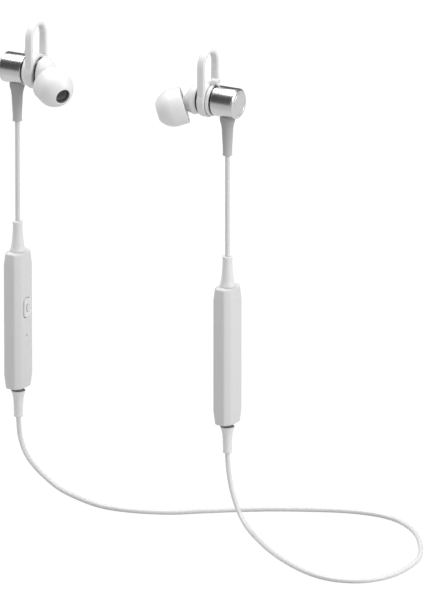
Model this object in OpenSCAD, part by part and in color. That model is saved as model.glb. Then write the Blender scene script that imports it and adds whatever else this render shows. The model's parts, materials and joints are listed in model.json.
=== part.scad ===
// Neckband earphones: two ear buds and two in-line pods on one thin cord.
// Millimetres. +X runs from the right bud to the left bud, +Z is up and -Y is the
// wearer's forward. The origin is the middle of the right ear tip's cylindrical band.

/* [Overall] */
// Distance between the two hanging cord lines
bud_spacing = 80.2; // [68:0.1:97]
// Straight cord from a bud's relief down to its pod's relief
upper_cord_length = 35.1; // [20:0.1:45]
// Diameter of the cord
cord_d = 1.6; // [1.2:0.1:2]

/* [Bud] */
// Outer diameter of the metal barrel
barrel_d = 10.3; // [9.2:0.1:12.4]
// Length of the metal barrel
barrel_length = 7.7; // [6.5:0.1:10]
// Wall of the barrel and of the front housing's collar
bud_wall = 0.5; // [0.4:0.05:0.7]
// Thickness of the outer cap beyond the barrel
cap_thickness = 0.7; // [0.5:0.05:1.2]
// Width of the dark trim ring
trim_width = 0.7; // [0.4:0.05:1.2]
// Width of the dark seal ring between the wing and the housing's dome
seal_width = 0.8; // [0.5:0.05:1.1]
// Width of the front housing's collar
collar_width = 1.2; // [0.8:0.05:2]
// Length of the bud's cord relief below the barrel's surface
bud_relief_length = 13.25; // [9:0.05:18]

/* [Nozzle and ear tip] */
// Angle of the nozzle forward of the barrel's axis
nozzle_yaw = 30; // [20:1:36]
// Angle of the nozzle below the barrel's axis
nozzle_dip = 16; // [4:0.5:18]
// Outer diameter of the nozzle's tube
nozzle_d = 4; // [3.6:0.1:4.4]
// Length of the nozzle from the point where it turns off the barrel's axis
nozzle_length = 15.6; // [14.5:0.1:16]
// Outer diameter of the ear tip
tip_d = 12.6; // [11:0.1:15]
// Width of the tip's cylindrical band
tip_band = 4.2; // [3.2:0.1:5]
// Wall of the tip's dome
tip_wall = 0.7; // [0.5:0.05:0.9]

/* [Ear wing] */
// Width of the wing's ring and arch along the barrel's axis
wing_width = 2.8; // [2:0.1:3.6]
// Radial thickness of the wing's ring
wing_ring_wall = 1.25; // [1:0.05:1.6]
// Thickness of the arch
wing_strip = 1.5; // [1.1:0.1:1.9]
// Height of the arch's top above the barrel's axis
wing_height = 17.5; // [14:0.1:21]

/* [Pods] */
// Width of a pod, across its wide face
pod_width = 10.6; // [9.6:0.1:12.8]
// Thickness of a pod
pod_depth = 7.2; // [6.8:0.1:8.7]
// Length of a pod without its reliefs
pod_length = 47.7; // [46:0.1:58]
// Wall of a pod's shells
pod_wall = 0.8; // [0.6:0.05:0.9]
// Turn of both pods about their cord
pod_turn = 4.5; // [0:0.5:12]
// Length of the relief above a pod
top_relief_length = 10.6; // [8:0.1:15]
// Length of the relief below a pod
bottom_relief_length = 10.6; // [7:0.1:14]

/* [Keys] */
// Height of the volume rocker along the pod
rocker_height = 7; // [6:0.1:9]
// Width of the volume rocker
rocker_width = 4.2; // [3.6:0.1:5]
// Height of the rocker's face above the pod's face
rocker_rise = 0.5; // [0.3:0.05:0.8]
// Height of the play key along the pod
key_height = 2.6; // [2:0.1:3]
// Width of the play key
key_width = 1.8; // [1.4:0.1:2.2]
// Distance from the remote's top to the middle of its keys
key_drop = 19.3; // [16:0.1:21]

/* [Clearances] */
// Radial gap of parts that are pushed into one another and stay
fit_gap = 0.1; // [0.05:0.01:0.15]
// Gap around the keys
key_gap = 0.15; // [0.12:0.01:0.2]
// Radial gap between the wing's ring and its groove
wing_gap = 0.08; // [0.05:0.01:0.1]
// End gap on each side of the wing's ring
wing_side_gap = 0.2; // [0.15:0.05:0.3]
// Radial gap between the nozzle's lip and the tip's bore
tip_gap = 0.15; // [0.1:0.01:0.2]

/* [Hidden] */
round_fn = 96;
eps = 0.01;

// Bud stations, measured along the barrel's axis from the cord's line towards the head.
barrel_r = barrel_d / 2;
bud_bore_r = barrel_r - bud_wall;
barrel_end = barrel_length / 2;
cap_face = -barrel_end - cap_thickness;
cap_bevel = 0.35;
cap_spigot = 1.3;
trim_r = barrel_r - 0.2;
collar_r = barrel_r + 0.15;
collar_start = barrel_end + trim_width;
groove_start = collar_start + collar_width;
groove_end = groove_start + wing_width + 2 * wing_side_gap;
groove_r = bud_bore_r - 0.05;
dome_start = groove_end + seal_width;
spigot_r = bud_bore_r - fit_gap;
spigot_length = 1;
dome_r = collar_r;
dome_straight = 0.5;
dome_length = 2.6;
dome_nose_r = dome_r - dome_length;
lug_r = 1.1;
lug_length = 2.4;
lug_z = barrel_r + 0.1 + lug_r;

// Nozzle stations, measured along the nozzle from the turning point.
nozzle_base = groove_end - 0.8;
nozzle_r = nozzle_d / 2;
nozzle_bore_r = nozzle_r - 0.4;
lip_r = nozzle_r + 0.25;
lip_length = 0.8;
mesh_r = nozzle_r - 0.15;
mesh_depth = 0.25;
mesh_thickness = 0.2;
tip_r = tip_d / 2;
tip_bore_r = lip_r + tip_gap;
tip_sleeve_r = tip_bore_r + 0.7;
tip_start = nozzle_length - 8.1;
tip_centre = tip_start + tip_band;
tip_setback = 0.6;
tip_rim = 0.2;
tip_nose = tip_centre - tip_setback
    + sqrt(pow(tip_r, 2) + pow(tip_setback, 2) - pow(tip_bore_r + 0.4, 2));
tip_mount = tip_start + tip_band / 2;
nozzle_turn = [0, 90 + nozzle_dip, -nozzle_yaw];
nozzle_axis = [
    cos(nozzle_dip) * cos(nozzle_yaw),
    -cos(nozzle_dip) * sin(nozzle_yaw),
    -sin(nozzle_dip)
];
row_origin = [nozzle_base, 0, 0] + tip_mount * nozzle_axis;

// Driver, seated in the front housing.
driver_r = spigot_r - 0.55;
driver_seat = groove_start - 0.15;
driver_length = 2.9;
driver_rim = 0.5;
magnet_r = driver_r - 1.1;
magnet_length = 1.5;
diaphragm_r = driver_r - 0.3;
diaphragm_thickness = 0.2;

// Heights on the two cord lines.
bud_relief_end = -barrel_r - bud_relief_length;
top_relief_start = bud_relief_end - upper_cord_length;
pod_top = top_relief_start - top_relief_length;
pod_bottom = pod_top - pod_length;
bottom_relief_end = pod_bottom - bottom_relief_length;
stem_hole_r = 1.8;

// Pod sections.
pod_corner_depth = 1.6;
pod_corner_width = 2.2;
pod_end_taper = 0.45;
pod_taper_length = 4.5;
parting = pod_corner_depth - pod_depth / 2;
relief_neck_r = 1.5;
key_z = pod_top - key_drop;
rocker_base = pod_depth / 2 - pod_wall - 0.7;
rocker_skirt = 0.4;
key_base = rocker_base - 0.45;
key_skirt = 0.3;
board_thickness = 0.8;
board_front = rocker_base - 1.5;
board_back = board_front - board_thickness;
board_width = pod_width - 2 * pod_wall - 1;
board_margin = 5.5;
switch_spread = 2.6;
mic_drop = 28.9;
mic_hole_r = 0.3;

// Charging port on the battery pod's rear narrow face.
port_drop = 10.6;
port_z = pod_top - port_drop;
port_height = 7.5;
port_width = 2.6;
port_length = 4.7;
port_sheet = 0.25;
port_face = pod_width / 2 - 0.4;
port_back = port_face - port_length;
cover_height = 9;
cover_width = 3.6;
cover_thickness = 0.5;
cover_lug_length = 0.5;
cover_y = pod_width / 2 + 0.03 + cover_thickness / 2;
cover_hinge_z = port_z - cover_height / 2;
charge_board_length = 14;
charge_board_width = board_width - 1.2;
cell_top = port_z - charge_board_length / 2 - 1;
cell_bottom = pod_bottom + 3.2;
cell_depth = pod_depth - 2 * pod_wall - 1.4;
cell_width = board_width - 1.4;

// Neck cord, as [x, y, height of its middle above the cord's resting plane].
neck_rise = 22.1;
neck_route = [
    [0, 0, 22.1], [0.3, -0.2, 19], [0.9, -0.6, 15.7], [2.7, -1.6, 12.1], [5.4, -3, 9.3],
    [8, -3.6, 7.1], [11, -4, 4.9], [18, -6, 1.9], [24, -8.1, 0.9], [32, -10.6, 0.3],
    [39.5, -12], [48, -11.5],
    [56, -9.2], [63, -6], [70, -0.7], [79.6, 6.2], [89.4, 12.5], [100, 18], [110, 22.3],
    [118, 24.4], [126, 24.6], [134, 22], [143, 15], [151, 4.3], [157, -7.4], [158.7, -17],
    [158.2, -26.8], [155.2, -34.4], [150, -39.4], [142, -41.4], [133, -39.6], [121, -33.2],
    [108.7, -24], [96, -12.2, 0.2], [90.4, -7.2, 1.6], [86.8, -4.6, 4.4], [84, -2.9, 8.6],
    [82, -1.5, 13], [80.7, -0.5, 18], [80.2, 0, 22.1]
];
cord_plane = bottom_relief_end - neck_rise;
cord_sides = 8;

// Moves the cord's far end with the spacing of the buds and leaves its near end.
function route_point(p) = [
    p[0] * bud_spacing / 80.2,
    p[1],
    cord_plane + (len(p) == 3 ? p[2] : 0)
];
neck_points = [for (p = neck_route) route_point(p)];

// Point at share u of the way from point i to point i + 1 on a smooth curve.
function curve_point(p, i, u) =
    let (a = p[max(i - 1, 0)], b = p[i], c = p[i + 1], d = p[min(i + 2, len(p) - 1)])
    (2 * b + (c - a) * u + (2 * a - 5 * b + 4 * c - d) * u * u
        + (3 * b - a - 3 * c + d) * u * u * u) / 2;

function curve(p, steps) = concat(
    [for (i = [0:len(p) - 2]) for (k = [0:steps - 1]) curve_point(p, i, k / steps)],
    [p[len(p) - 1]]
);

function unit(v) = v / norm(v);

// Directions along a path. The two ends leave their reliefs straight down.
function tangents(p) = [
    for (i = [0:len(p) - 1])
        i == 0 ? [0, 0, -1] : i == len(p) - 1 ? [0, 0, 1] : unit(p[i + 1] - p[i - 1])
];

// Carries a side vector along the path without twist.
function carried(t, i) = i == 0 ? [1, 0, 0] :
    let (last = carried(t, i - 1)) unit(last - (last * t[i]) * t[i]);

function cord_ring(centre, t, side, r) =
    let (other = cross(t, side))
    [for (k = [0:cord_sides - 1])
        let (a = k * 360 / cord_sides) centre + r * (cos(a) * side + sin(a) * other)];

// Closed solid through rings of equal point counts, each clockwise seen from the ring before it.
module loft(rings) {
    sides = len(rings[0]);
    last = len(rings) - 1;
    polyhedron(
        points = [for (ring = rings) for (p = ring) p],
        faces = concat(
            [[for (k = [0:sides - 1]) k]],
            [[for (k = [0:sides - 1]) last * sides + sides - 1 - k]],
            [for (j = [0:last - 1]) for (k = [0:sides - 1])
                [j * sides + k, (j + 1) * sides + k,
                 (j + 1) * sides + (k + 1) % sides, j * sides + (k + 1) % sides]]
        )
    );
}

// Places a child that is built about the right bud's barrel axis.
module right_bud() {
    translate(-row_origin) children();
}

// Places the mirror image of a right bud's child at the left bud.
module left_bud() {
    translate(-row_origin) translate([bud_spacing, 0, 0]) mirror([1, 0, 0]) children();
}

// Places a child on the right cord line, with the pods' turn.
module right_pod() {
    translate(-row_origin) rotate([0, 0, -pod_turn]) children();
}

module left_pod() {
    translate(-row_origin + [bud_spacing, 0, 0]) rotate([0, 0, -pod_turn]) children();
}

// Turns a shape drawn along Z onto the barrel's axis or onto the nozzle.
module along_barrel(s) {
    translate([s, 0, 0]) rotate([0, 90, 0]) children();
}

module along_nozzle(t) {
    translate([nozzle_base, 0, 0]) rotate(nozzle_turn) translate([0, 0, t]) children();
}

module tube(r_out, r_in, length) {
    difference() {
        cylinder(r = r_out, h = length, $fn = round_fn);
        translate([0, 0, -1]) cylinder(r = r_in, h = length + 2, $fn = round_fn);
    }
}

// ---- Bud ----

module end_cap() {
    color("gainsboro") along_barrel(cap_face) rotate_extrude($fn = round_fn) polygon([
        [0, 0], [barrel_r - cap_bevel, 0], [barrel_r, cap_bevel], [barrel_r, cap_thickness],
        [spigot_r, cap_thickness], [spigot_r, cap_thickness + cap_spigot],
        [spigot_r - 0.6, cap_thickness + cap_spigot], [spigot_r - 0.6, cap_thickness],
        [0, cap_thickness]
    ]);
}

module barrel() {
    color("silver") difference() {
        along_barrel(-barrel_end) tube(barrel_r, bud_bore_r, barrel_length);
        translate([0, 0, -barrel_r - 1]) cylinder(r = stem_hole_r, h = barrel_r, $fn = 48);
    }
}

module trim_ring() {
    color("dimgray") along_barrel(barrel_end) tube(trim_r, bud_bore_r, trim_width);
}

module seal_ring() {
    color("dimgray") along_barrel(groove_end) tube(trim_r, bud_bore_r, seal_width);
}

module housing_skin() {
    along_barrel(barrel_end - spigot_length) rotate_extrude($fn = round_fn) {
        square([spigot_r, collar_start - barrel_end + spigot_length + eps]);
        translate([0, collar_start - barrel_end + spigot_length])
            square([collar_r, collar_width]);
        translate([0, groove_start - barrel_end + spigot_length])
            square([groove_r, dome_start - groove_start + eps]);
    }
    along_barrel(dome_start) rotate_extrude($fn = round_fn) {
        square([dome_r, dome_straight]);
        translate([0, dome_straight]) intersection() {
            translate([dome_nose_r, 0]) circle(r = dome_length, $fn = round_fn);
            square([dome_r, dome_length]);
        }
        square([dome_nose_r, dome_straight + dome_length]);
    }
}

module nozzle_skin() {
    along_nozzle(0) rotate_extrude($fn = round_fn) polygon([
        [0, 0], [nozzle_r + 0.8, 1.5], [nozzle_r + 0.9, 3.5], [nozzle_r + 1.1, 4.6],
        [nozzle_r + 0.5, 6.4], [nozzle_r, 7.8],
        [nozzle_r, nozzle_length - lip_length - 0.4], [lip_r, nozzle_length - lip_length],
        [lip_r, nozzle_length - 0.3], [lip_r - 0.25, nozzle_length], [0, nozzle_length]
    ]);
}

// The nozzle's root, kept out of the groove that the wing's ring and the seal ring lie in.
module nozzle_root() {
    difference() {
        nozzle_skin();
        along_barrel(groove_start) tube(dome_r + 2, groove_r, dome_start - groove_start);
    }
}

// Round knob on top of the collar that the wing's ring turns against.
module lug() {
    along_barrel(groove_start - lug_length) translate([-lug_z, 0, 0])
        cylinder(r = lug_r, h = lug_length, $fn = 48);
    translate([collar_start, -0.8, collar_r - 0.5])
        cube([collar_width, 1.6, lug_z - collar_r + 0.5]);
}

module front_housing() {
    color("white") difference() {
        union() {
            housing_skin();
            nozzle_root();
            lug();
        }
        along_barrel(barrel_end - spigot_length - 1)
            cylinder(r = driver_r + fit_gap, h = driver_seat - barrel_end + spigot_length + 1,
                $fn = round_fn);
        along_barrel(driver_seat - eps)
            cylinder(r = driver_r - driver_rim, h = groove_end - driver_seat, $fn = round_fn);
        along_nozzle(0) cylinder(r = nozzle_bore_r, h = nozzle_length + 1, $fn = 64);
        along_nozzle(nozzle_length - mesh_depth) cylinder(r = mesh_r + 0.05, h = 1, $fn = 64);
    }
}

module nozzle_mesh() {
    color("gray") along_nozzle(nozzle_length - mesh_depth)
        cylinder(r = mesh_r, h = mesh_thickness, $fn = 64);
}

// Half outline of a dome that springs from radius r at the end of the tip's band.
module tip_dome(r, top) {
    intersection() {
        translate([0, tip_centre - tip_setback])
            circle(r = norm([r, tip_setback]), $fn = round_fn);
        translate([0, tip_centre]) square([r, top - tip_centre]);
    }
}

module ear_tip() {
    color("whitesmoke") along_nozzle(0) rotate_extrude($fn = round_fn) {
        difference() {
            union() {
                translate([0, tip_start]) square([tip_r, tip_band]);
                translate([0, tip_start - tip_rim]) polygon([
                    [0, 0], [tip_r - tip_rim, 0], [tip_r, tip_rim], [0, tip_rim]
                ]);
                tip_dome(tip_r, tip_nose);
            }
            translate([0, tip_start - 1]) square([tip_r - tip_wall, tip_band + 1]);
            tip_dome(tip_r - tip_wall, tip_nose);
        }
        translate([tip_bore_r, tip_start + 1.5])
            square([tip_sleeve_r - tip_bore_r, tip_nose - tip_start - 1.5 - 0.15]);
    }
}

module arch_outline(half_width, top) {
    translate([-top + half_width, 0]) circle(r = half_width, $fn = round_fn);
    translate([-top + half_width, -half_width]) square([top - half_width, 2 * half_width]);
}

module ear_wing() {
    ring_bore = groove_r + wing_gap;
    ring_r = ring_bore + wing_ring_wall;
    half_width = ring_r - 0.35;
    color("whitesmoke") along_barrel(groove_start + wing_side_gap) difference() {
        linear_extrude(height = wing_width) {
            circle(r = ring_r, $fn = round_fn);
            difference() {
                arch_outline(half_width, wing_height);
                arch_outline(half_width - wing_strip, wing_height - wing_strip);
            }
        }
        translate([0, 0, -1]) cylinder(r = ring_bore, h = wing_width + 2, $fn = round_fn);
    }
}

module driver_frame() {
    color("darkgray") along_barrel(driver_seat - driver_length) rotate_extrude($fn = round_fn)
        polygon([
            [driver_r - 2, 0], [driver_r, 0], [driver_r, driver_length],
            [diaphragm_r + 0.05, driver_length], [diaphragm_r + 0.05, driver_length - 0.5],
            [driver_r - driver_rim, driver_length - 0.5], [driver_r - driver_rim, driver_rim],
            [driver_r - 2, driver_rim]
        ]);
}

module driver_magnet() {
    color("slategray") along_barrel(driver_seat - driver_length + driver_rim)
        cylinder(r = magnet_r, h = magnet_length, $fn = 64);
}

module diaphragm() {
    color("tan") along_barrel(driver_seat - 0.5)
        cylinder(r = diaphragm_r, h = diaphragm_thickness, $fn = 64);
}

module bud_relief() {
    shoulder = stem_hole_r + 0.8;
    color("darkgray") {
        translate([0, 0, -barrel_r - 0.3])
            cylinder(r = stem_hole_r - fit_gap, h = bud_wall + 1.3, $fn = 48);
        translate([0, 0, -barrel_r + bud_wall + 0.6])
            cylinder(r = stem_hole_r + 0.3, h = 0.6, $fn = 48);
        difference() {
            translate([0, 0, bud_relief_end]) rotate_extrude($fn = 48) polygon([
                [0, 0], [cord_d / 2 + 0.8, 0], [cord_d / 2 + 0.85, 0.4], [cord_d / 2 + 0.7, 0.5],
                [stem_hole_r + 0.1, bud_relief_length - 3.2], [shoulder, bud_relief_length - 0.8],
                [shoulder, bud_relief_length + 0.6], [0, bud_relief_length + 0.6]
            ]);
            along_barrel(-barrel_end) cylinder(r = barrel_r + 0.03, h = barrel_length,
                $fn = round_fn);
        }
    }
}

// ---- Pods ----

// Eight-sided section of a pod at height z, drawn in by a given inset.
function pod_section(z, inset) =
    let (x = pod_depth / 2 - inset, y = pod_width / 2 - inset,
         cx = pod_corner_depth - inset * 0.4, cy = pod_corner_width - inset * 0.4)
    [[x, y - cy, z], [x - cx, y, z], [cx - x, y, z], [-x, y - cy, z],
     [-x, cy - y, z], [cx - x, -y, z], [x - cx, -y, z], [x, cy - y, z]];

module pod_volume(inset) {
    low = pod_bottom + inset;
    high = pod_top - inset;
    loft([
        pod_section(low, inset + pod_end_taper),
        pod_section(low + pod_taper_length, inset),
        pod_section(high - pod_taper_length, inset),
        pod_section(high, inset + pod_end_taper)
    ]);
}

module behind_parting() {
    translate([parting - 20, -20, pod_bottom - 1]) cube([20, 40, pod_length + 2]);
}

module pod_front_shell() {
    difference() {
        pod_volume(0);
        pod_volume(pod_wall);
        behind_parting();
        translate([0, 0, pod_bottom - 1])
            cylinder(r = relief_neck_r + 0.05, h = pod_length + 2, $fn = 48);
    }
}

module pod_back_shell() {
    intersection() {
        difference() {
            pod_volume(0);
            pod_volume(pod_wall);
        }
        behind_parting();
    }
}

// Pillar from a back shell's inner face to a board or a cell.
module pillar(z, front) {
    back = -pod_depth / 2 + pod_wall - 0.1;
    translate([back, 0, z]) rotate([0, 90, 0]) cylinder(r = 1, h = front - back, $fn = 32);
}

// Flat key outline with round ends, standing on the pod's wide face.
module pill(height, width, base, top) {
    translate([base, 0, key_z]) rotate([0, 90, 0]) linear_extrude(height = top - base) {
        square([height - width, width], center = true);
        for (end = [-1, 1]) {
            translate([end * (height - width) / 2, 0]) circle(d = width, $fn = 64);
        }
    }
}

module remote_front_shell() {
    color("lightgray") difference() {
        pod_front_shell();
        pill(rocker_height + 2 * key_gap, rocker_width + 2 * key_gap, 0, pod_depth);
        translate([0, 0, pod_top - mic_drop]) rotate([0, 90, 0])
            cylinder(r = mic_hole_r, h = pod_depth, $fn = 32);
    }
}

module remote_back_shell() {
    color("lightgray") {
        pod_back_shell();
        pillar(pod_top - board_margin - 2, board_back);
        pillar(pod_bottom + board_margin + 2, board_back);
    }
}

module volume_rocker() {
    top = pod_depth / 2 + rocker_rise;
    skirt = 2 * key_gap + 0.5;
    color("white") difference() {
        union() {
            pill(rocker_height, rocker_width, rocker_base, top);
            pill(rocker_height + skirt, rocker_width + skirt, rocker_base,
                rocker_base + rocker_skirt);
        }
        pill(key_height + 2 * key_gap, key_width + 2 * key_gap, 0, pod_depth);
    }
}

module play_key() {
    color("lightgray") {
        pill(key_height, key_width, key_base, pod_depth / 2 + rocker_rise + 0.25);
        pill(key_height + 0.8, key_width + 0.8, key_base, key_base + key_skirt);
    }
}

module tact_switch(z, top) {
    translate([board_front, -1.2, z - 0.9]) cube([0.55, 2.4, 1.8]);
    translate([board_front, 0, z]) rotate([0, 90, 0])
        cylinder(r = 0.45, h = top - board_front, $fn = 32);
}

module tact_switches() {
    color("gold") {
        tact_switch(key_z, key_base - 0.25);
        tact_switch(key_z - switch_spread, rocker_base - 0.2);
        tact_switch(key_z + switch_spread, rocker_base - 0.2);
    }
}

module remote_board() {
    low = pod_bottom + board_margin;
    color("darkgreen") translate([board_back, -board_width / 2, low])
        cube([board_thickness, board_width, pod_length - 2 * board_margin]);
}

module bluetooth_chip() {
    color("black") translate([board_back - 0.8, -2.5, key_z - 2.5]) cube([0.8, 5, 5]);
}

module antenna() {
    color("tan") translate([board_front, -3.2, pod_bottom + board_margin + 0.4])
        cube([0.7, 6.4, 2]);
}

module microphone() {
    color("silver") translate([board_front, -0.9, pod_top - mic_drop - 1.3])
        cube([1.1, 1.8, 2.6]);
}

module status_led() {
    color("lightyellow") translate([board_front, 1.6, key_z - 0.4]) cube([0.5, 1, 0.8]);
}

module top_relief() {
    color("lightgray") {
        translate([0, 0, pod_top]) rotate_extrude($fn = 48) polygon([
            [0, 0], [cord_d / 2 + 1.85, 0], [cord_d / 2 + 1.85, 0.3],
            [cord_d / 2 + 1.5, 1.6], [cord_d / 2 + 1.15, 4], [cord_d / 2 + 0.9, 8],
            [cord_d / 2 + 0.9, top_relief_length], [0, top_relief_length]
        ]);
        relief_root(pod_top - pod_wall);
    }
}

module bottom_relief() {
    color("lightgray") {
        translate([0, 0, bottom_relief_end]) rotate_extrude($fn = 48) polygon([
            [0, 0], [cord_d / 2 + 0.75, 0], [cord_d / 2 + 0.9, bottom_relief_length * 0.5],
            [cord_d / 2 + 1.2, bottom_relief_length - 2.4],
            [cord_d / 2 + 1.65, bottom_relief_length - 0.6],
            [cord_d / 2 + 1.65, bottom_relief_length], [0, bottom_relief_length]
        ]);
        mirror_about(pod_bottom + pod_length / 2) relief_root(pod_top - pod_wall);
    }
}

// Neck through the pod's end wall, with the flange behind it.
module relief_root(z) {
    translate([0, 0, z - 0.3]) cylinder(r = relief_neck_r, h = pod_wall + 0.6, $fn = 48);
    translate([0, 0, z - 0.8]) cylinder(r = relief_neck_r + 0.6, h = 0.7, $fn = 48);
}

module mirror_about(z) {
    translate([0, 0, 2 * z]) mirror([0, 0, 1]) children();
}

module port_void(grow) {
    translate([-port_width / 2 - grow, port_back - grow, port_z - port_height / 2 - grow])
        cube([port_width + 2 * grow, port_length + 5, port_height + 2 * grow]);
}

module battery_front_shell() {
    color("lightgray") difference() {
        pod_front_shell();
        port_void(0.15);
    }
}

module battery_back_shell() {
    board_back_face = -port_width / 2 - board_thickness;
    color("lightgray") {
        pod_back_shell();
        pillar(port_z, board_back_face);
        pillar(cell_bottom + 4, -cell_depth / 2);
        pillar(cell_top - 4, -cell_depth / 2);
    }
}

module battery_cell() {
    color("slategray") translate([-cell_depth / 2, -cell_width / 2, cell_bottom])
        cube([cell_depth, cell_width, cell_top - cell_bottom]);
}

module charge_board() {
    color("darkgreen")
        translate([-port_width / 2 - board_thickness, -charge_board_width / 2,
                port_z - charge_board_length / 2])
            cube([board_thickness, charge_board_width, charge_board_length]);
}

module usb_receptacle() {
    inner_w = port_width - 2 * port_sheet;
    inner_h = port_height - 2 * port_sheet;
    color("silver") {
        difference() {
            translate([-port_width / 2, port_back, port_z - port_height / 2])
                cube([port_width, port_length, port_height]);
            translate([-inner_w / 2, port_back + port_sheet, port_z - inner_h / 2])
                cube([inner_w, port_length, inner_h]);
        }
        translate([-0.3, port_back, port_z - inner_h / 2 + 0.7])
            cube([0.6, port_length - 1, inner_h - 1.4]);
    }
}

module port_cover() {
    lug_w = port_width - 2 * port_sheet - 0.4;
    lug_h = port_height - 2 * port_sheet - 0.8;
    color("gainsboro") {
        translate([-cover_width / 2, cover_y - cover_thickness / 2, cover_hinge_z])
            cube([cover_width, cover_thickness, cover_height]);
        translate([-cover_width / 2, cover_y, cover_hinge_z]) rotate([0, 90, 0])
            cylinder(d = cover_thickness, h = cover_width, $fn = 32);
        translate([-lug_w / 2, port_face - cover_lug_length, port_z - lug_h / 2])
            cube([lug_w, cover_y - port_face + cover_lug_length, lug_h]);
    }
}

// ---- Cords ----

module straight_cord(x) {
    color("white") translate(-row_origin + [x, 0, 0]) loft([
        cord_ring([0, 0, bud_relief_end], [0, 0, -1], [1, 0, 0], cord_d / 2),
        cord_ring([0, 0, top_relief_start], [0, 0, -1], [1, 0, 0], cord_d / 2)
    ]);
}

module neck_cord() {
    path = curve(neck_points, 2);
    t = tangents(path);
    color("white") translate(-row_origin)
        loft([for (i = [0:len(path) - 1]) cord_ring(path[i], t[i], carried(t, i), cord_d / 2)]);
}

right_bud() end_cap();  // right_end_cap
right_bud() barrel();  // right_barrel
right_bud() trim_ring();  // right_trim_ring
right_bud() seal_ring();  // right_seal_ring
right_bud() front_housing();  // right_front_housing
right_bud() nozzle_mesh();  // right_nozzle_mesh
right_bud() ear_tip();  // right_ear_tip
right_bud() ear_wing();  // right_ear_wing
right_bud() driver_frame();  // right_driver_frame
right_bud() driver_magnet();  // right_driver_magnet
right_bud() diaphragm();  // right_diaphragm
right_bud() bud_relief();  // right_bud_relief
left_bud() end_cap();  // left_end_cap
left_bud() barrel();  // left_barrel
left_bud() trim_ring();  // left_trim_ring
left_bud() seal_ring();  // left_seal_ring
left_bud() front_housing();  // left_front_housing
left_bud() nozzle_mesh();  // left_nozzle_mesh
left_bud() ear_tip();  // left_ear_tip
left_bud() ear_wing();  // left_ear_wing
left_bud() driver_frame();  // left_driver_frame
left_bud() driver_magnet();  // left_driver_magnet
left_bud() diaphragm();  // left_diaphragm
left_bud() bud_relief();  // left_bud_relief
right_pod() remote_front_shell();
right_pod() remote_back_shell();
right_pod() volume_rocker();
right_pod() play_key();
right_pod() tact_switches();
right_pod() remote_board();
right_pod() bluetooth_chip();
right_pod() antenna();
right_pod() microphone();
right_pod() status_led();
right_pod() top_relief();  // remote_top_relief
right_pod() bottom_relief();  // remote_bottom_relief
left_pod() battery_front_shell();
left_pod() battery_back_shell();
left_pod() battery_cell();
left_pod() charge_board();
left_pod() usb_receptacle();
left_pod() port_cover();
left_pod() top_relief();  // battery_top_relief
left_pod() bottom_relief();  // battery_bottom_relief
straight_cord(0);  // right_cord
straight_cord(bud_spacing);  // left_cord
neck_cord();
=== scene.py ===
import json
import math

import bmesh
import bpy
from mathutils import Matrix, Vector


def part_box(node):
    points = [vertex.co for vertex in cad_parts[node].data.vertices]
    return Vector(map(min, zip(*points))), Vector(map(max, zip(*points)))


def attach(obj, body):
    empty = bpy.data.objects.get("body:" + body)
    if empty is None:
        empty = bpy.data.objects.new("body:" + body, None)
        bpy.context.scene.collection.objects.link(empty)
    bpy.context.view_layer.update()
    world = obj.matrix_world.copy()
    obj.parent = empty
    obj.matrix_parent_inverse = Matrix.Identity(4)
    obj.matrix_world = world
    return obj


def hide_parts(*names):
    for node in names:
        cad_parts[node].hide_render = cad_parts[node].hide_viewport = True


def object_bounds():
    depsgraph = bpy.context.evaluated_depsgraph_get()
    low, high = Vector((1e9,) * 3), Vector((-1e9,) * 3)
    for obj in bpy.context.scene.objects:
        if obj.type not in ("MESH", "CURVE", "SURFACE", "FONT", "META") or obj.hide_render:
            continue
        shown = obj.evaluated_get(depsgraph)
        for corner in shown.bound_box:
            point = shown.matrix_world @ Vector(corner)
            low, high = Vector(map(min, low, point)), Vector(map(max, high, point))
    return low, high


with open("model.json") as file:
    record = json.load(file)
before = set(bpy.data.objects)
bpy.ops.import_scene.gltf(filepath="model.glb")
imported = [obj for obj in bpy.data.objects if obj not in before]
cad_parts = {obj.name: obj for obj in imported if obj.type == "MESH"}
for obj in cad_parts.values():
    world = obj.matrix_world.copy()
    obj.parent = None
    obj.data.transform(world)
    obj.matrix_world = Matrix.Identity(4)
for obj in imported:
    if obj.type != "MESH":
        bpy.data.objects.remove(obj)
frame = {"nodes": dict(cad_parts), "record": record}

bl_info = {
    "name": "Neckband Earphones",
    "version": (1, 0, 0),
    "blender": (4, 5, 0),
    "location": "View3D > Sidebar > Earphones",
    "description": "Makes the finished pieces of a pair of neckband earphones round their frame",
    "category": "Object",
}

MM = 0.001
RECORD = frame["record"]
MOUNTS = {mount["name"]: mount for mount in RECORD["mounts"]}
BODY_OF_NODE = {node: body for body, nodes in RECORD["behaviour"]["bodies"].items()
                for node in nodes}
SLOT_OF_NODE = {part["node"]: part["material_slot"] for part in RECORD["subparts"]}
CAD_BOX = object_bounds()
SIDES = ("right", "left")
PODS = ("remote", "battery")
Z_ALONG_X = Matrix.Rotation(math.radians(90), 4, "Y")
POD_TURN = math.radians(-4.5)
RELIEF_ROOT = 1.6 * MM


# ---- Places, read from the frame ----

def low(node):
    return Vector(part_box(node)[0])


def high(node):
    return Vector(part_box(node)[1])


def middle(node):
    return (low(node) + high(node)) / 2


def bud_frame(side):
    """The bud's own axes: X runs from the cord's line towards the head, Z is up."""
    mirrored = Matrix.Scale(-1, 4, Vector((1, 0, 0))) if side == "left" else Matrix.Identity(4)
    return Matrix.Translation(middle(side + "_barrel")) @ mirrored


def barrel_frame(side, station=0.0):
    """Z runs along the barrel's axis towards the head, from a station on it."""
    return bud_frame(side) @ (Matrix.Translation((station, 0, 0)) @ Z_ALONG_X)


def nozzle_frame(side):
    """Z runs out along the nozzle, from the middle of the ear tip's band."""
    mount = MOUNTS[side + "_ear_tip"]
    turn = Vector(mount["axis"]).to_track_quat("Z", "Y").to_matrix().to_4x4()
    return Matrix.Translation(mount["pos_m"]) @ turn


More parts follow.
